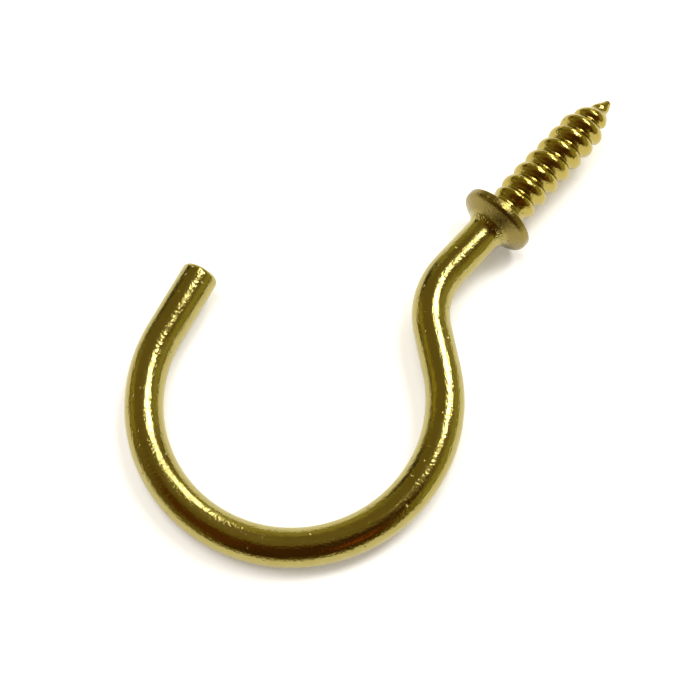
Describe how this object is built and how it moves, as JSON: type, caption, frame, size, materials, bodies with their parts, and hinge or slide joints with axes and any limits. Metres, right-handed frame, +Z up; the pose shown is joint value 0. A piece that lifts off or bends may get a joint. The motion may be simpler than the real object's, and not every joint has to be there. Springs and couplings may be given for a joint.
{
  "type": "cup hook",
  "caption": "Shouldered screw-in cup hook: round bent wire with a flanged seat, a wood-screw thread and an open round bowl.",
  "frame": {"origin": "centre of the flange's flat seat, on the screw's axis", "axes": "+X runs along the screw towards its tip, level with the surface the hook lies on; +Z is up; the bowl lies towards -X. The screw itself rises by the lie of the hook, under three degrees."},
  "size_m": [0.0528, 0.0291, 0.0066],
  "materials": {
    "brass_plate": "bright electro-brassed steel wire, yellow passivated"
  },
  "bodies": {
    "root": {"cup_hook": "brass_plate"}
  },
  "joints": []
}
